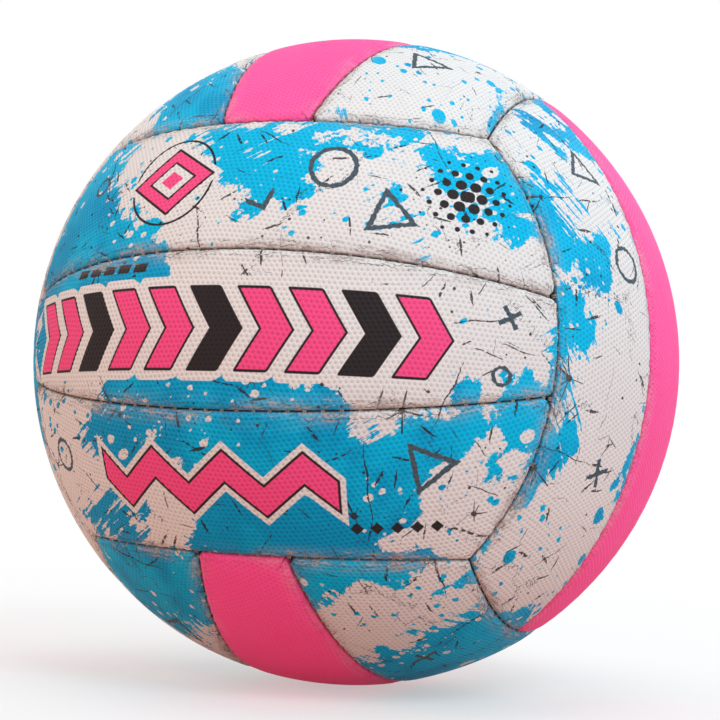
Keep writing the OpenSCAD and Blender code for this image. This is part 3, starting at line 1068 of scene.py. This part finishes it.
def place_camera(scene, r):
    """The photograph's view, fitted from the seams: the camera's axes, its distance in ball
    radii, and the size and shift of the ball's outline"""
    right = Vector((0.9338, 0.3545, 0.0492))
    back = Vector((0.3574, -0.9308, -0.0765)).normalized()
    right = (right - back * right.dot(back)).normalized()
    up = back.cross(right)
    distance, outline_px, frame_px, sensor = 5.18, 323.4, 720, 36
    camera = bpy.data.cameras.new("Camera")
    camera.sensor_width = sensor
    camera.lens = outline_px * math.sqrt(distance ** 2 - 1) * sensor / frame_px
    camera.shift_x, camera.shift_y = 3.6 / frame_px, 2.1 / frame_px
    camera.clip_start, camera.clip_end = 0.01, 20
    view = bpy.data.objects.new("Camera", camera)
    turn = Matrix((right, up, back)).transposed().to_4x4()
    view.matrix_world = Matrix.Translation(back * distance * r) @ turn
    scene.collection.objects.link(view)
    scene.camera = view


def lay_floor(r):
    """A floor that looks white, keeps the ball's shadow and throws a warm light back"""
    bpy.ops.object.select_all(action="DESELECT")
    bpy.ops.mesh.primitive_plane_add(size=8, location=(0, 0, -r - 0.0004))
    floor = bpy.context.object
    floor.name = "Floor"
    f = Finish("White floor")
    path = f.node("LightPath")
    camera_ray, glossy_ray, clear_ray = (Value(f, path.outputs[f"Is {kind} Ray"])
                                         for kind in ("Camera", "Glossy", "Transmission"))
    bounce = f.mix(camera_ray, FLOOR_BOUNCE, (0.88, 0.88, 0.88))
    f.plug(f.shader.inputs["Base Color"], bounce)
    f.plug(f.shader.inputs["Roughness"], 0.9)
    glow = f.node("Emission")
    glow.inputs["Color"].default_value = (1, 1, 1, 1)
    glow.inputs["Strength"].default_value = 1.0
    share = f.node("MixShader")
    seen = f.maximum(camera_ray, glossy_ray, clear_ray)
    px, py, _ = f.parts(f.place())
    away = f.ramp(f.root_of_squares(px, py), 0.12, 0.9)
    f.plug(share.inputs[0], seen * (away * 0.55 + 0.45))
    f.tree.links.new(f.shader.outputs[0], share.inputs[1])
    f.tree.links.new(glow.outputs[0], share.inputs[2])
    f.tree.links.new(share.outputs[0], f.tree.nodes["Material Output"].inputs["Surface"])
    floor.data.materials.append(f.material)


def light_world(scene):
    """Even light from all round; only the camera sees the white background"""
    world = bpy.data.worlds.new("Studio")
    scene.world = world
    world.use_nodes = True
    tree = world.node_tree
    soft, white = tree.nodes["Background"], tree.nodes.new("ShaderNodeBackground")
    for sky, colour, strength in ((soft, (0.98, 1.0, 1.0, 1), 0.665),
                                  (white, (1, 1, 1, 1), 1.0)):
        sky.inputs["Color"].default_value = colour
        sky.inputs["Strength"].default_value = strength
    path = tree.nodes.new("ShaderNodeLightPath")
    share = tree.nodes.new("ShaderNodeMixShader")
    tree.links.new(path.outputs["Is Camera Ray"], share.inputs[0])
    tree.links.new(soft.outputs[0], share.inputs[1])
    tree.links.new(white.outputs[0], share.inputs[2])
    tree.links.new(share.outputs[0], tree.nodes["World Output"].inputs["Surface"])


def hang_lamps(scene):
    """Round lamps that point at the ball: place, size, power and colour of each"""
    for name, place, size, power, colour in (
            ("Key light", (1.0, -0.95, 1.05), 0.7, 10.3, (0.79, 0.93, 1.0)),
            ("Top light", (0.1, -0.3, 1.6), 1.0, 4.9, (1.0, 0.88, 0.86)),
            ("Side light", (1.6, -0.2, 0.3), 1.0, 4.7, (0.32, 0.75, 1.0)),
            ("Fill light", (-1.3, -0.9, 0.3), 1.2, 5.3, (1.0, 0.58, 0.38)),
            ("Rim light", (0.7, 1.2, 0.9), 0.9, 3.5, (0.95, 0.98, 1.0)),
            ("Back light", (-1.0, 1.3, 0.6), 1.0, 4.0, (1.0, 0.98, 0.95))):
        light = bpy.data.lights.new(name, "AREA")
        light.shape, light.size, light.energy, light.color = "DISK", size, power, colour
        lamp = bpy.data.objects.new(name, light)
        lamp.location = place
        lamp.rotation_euler = (-Vector(place)).to_track_quat("-Z", "Y").to_euler()
        scene.collection.objects.link(lamp)


# Operators

class NETBALL_OT_printed_panels(Operator):
    """Makes the fourteen panels that carry the print"""
    bl_idname = "netball.printed_panels"
    bl_label = "Printed panels"

    def execute(self, context):
        found = materials()
        for group, strips in GROUP_STRIPS.items():
            for strip in strips:
                if group in ("front", "back"):
                    make_panel(group, strip, found(f"Print of the {strip} strips"), "skin_print")
                elif strip != "middle":
                    make_panel(group, strip, found("Print of the side groups"), "skin_print")
        return {"FINISHED"}


class NETBALL_OT_pink_panels(Operator):
    """Makes the four plain pink middle panels"""
    bl_idname = "netball.pink_panels"
    bl_label = "Pink panels"

    def execute(self, context):
        found = materials()
        for group in PINK_MIDDLES:
            make_panel(group, "middle", found("Pink skin"), "skin_pink")
        return {"FINISHED"}


class NETBALL_OT_stitches(Operator):
    """Sews the seams: two strands to a stitch, across the groove"""
    bl_idname = "netball.stitches"
    bl_label = "Stitches"

    def execute(self, context):
        sizes = context.scene.netball_sizes
        thread = materials()("Waxed thread")
        pitch = sizes.stitch_pitch / MM
        strip_runs, group_runs = [], []
        walls = panel_walls(True)
        # The stitches stop 3 to 4 mm short of the seams' ends.
        strip_half = abs(wall_along(inside_corner(walls[1], walls[2], 0.0), walls[2]))
        group_half = BALL_R * math.sin(SEAM_ANGLE) * GROUP_SEAM_HALF
        for axes in GROUP_AXES.values():
            axes = np.array(axes, float)
            for seams, half, runs in ((walls[2:], strip_half - 3, strip_runs),
                                      (walls[:2], group_half - 4, group_runs)):
                for normal, angle, _, towards in seams:
                    runs += seam_run(normal @ axes, angle, towards @ axes, half, pitch)
        sewn("strip_stitches", strip_runs, sizes, thread, "strip_seam_thread")
        sewn("group_stitches", group_runs, sizes, thread, "group_seam_thread")
        return {"FINISHED"}


class NETBALL_OT_inner_layers(Operator):
    """Gives the foam pads, linings, bladder and valve their finishes"""
    bl_idname = "netball.inner_layers"
    bl_label = "Inner layers and valve"

    def execute(self, context):
        foam, lining = foam_material(), lining_material()
        butyl = rubber_material("Butyl rubber", (0.012, 0.012, 0.013), (0.035, 0.035, 0.037), 0.5)
        silicone = rubber_material("Silicone rubber", (0.58, 0.56, 0.52), (0.72, 0.70, 0.66), 0.42)
        for obj in list(bpy.data.objects):
            for start, material in (("foam_", foam), ("lining_", lining), ("bladder", butyl),
                                    ("valve_seat", butyl), ("valve_plug", silicone)):
                if obj.type == "MESH" and obj.name.startswith(start):
                    for slot in obj.material_slots:
                        slot.material = material
        return {"FINISHED"}


class NETBALL_OT_studio(Operator):
    """Sets up the floor, the lights, the camera and the view settings"""
    bl_idname = "netball.studio"
    bl_label = "Studio"

    def execute(self, context):
        scene = context.scene
        scene.view_settings.view_transform = "Standard"
        r = BALL_R * MM
        place_camera(scene, r)
        lay_floor(r)
        light_world(scene)
        hang_lamps(scene)
        return {"FINISHED"}


class NETBALL_PT_pieces(Panel):
    """Lists the pieces in the order they are made"""
    bl_idname = "NETBALL_PT_pieces"
    bl_label = "Netball"
    bl_space_type = "VIEW_3D"
    bl_region_type = "UI"
    bl_category = "Netball"

    def draw(self, context):
        for group in (context.scene.netball_sizes, context.scene.netball_colours):
            for name in group.bl_rna.properties.keys():
                if name not in ("rna_type", "name"):
                    self.layout.prop(group, name)
        for operator in OPERATORS:
            self.layout.operator(operator.bl_idname)


OPERATORS = (NETBALL_OT_printed_panels, NETBALL_OT_pink_panels, NETBALL_OT_stitches,
             NETBALL_OT_inner_layers, NETBALL_OT_studio)
CLASSES = (NetballSizes, NetballColours, *OPERATORS, NETBALL_PT_pieces)


def register():
    for cls in CLASSES:
        bpy.utils.register_class(cls)
    bpy.types.Scene.netball_sizes = PointerProperty(type=NetballSizes)
    bpy.types.Scene.netball_colours = PointerProperty(type=NetballColours)


def unregister():
    del bpy.types.Scene.netball_colours
    del bpy.types.Scene.netball_sizes
    for cls in reversed(CLASSES):
        bpy.utils.unregister_class(cls)


def main():
    register()
    bpy.ops.netball.printed_panels()
    bpy.ops.netball.pink_panels()
    bpy.ops.netball.stitches()
    bpy.ops.netball.inner_layers()
    bpy.ops.netball.studio()


if __name__ == "__main__":
    main()
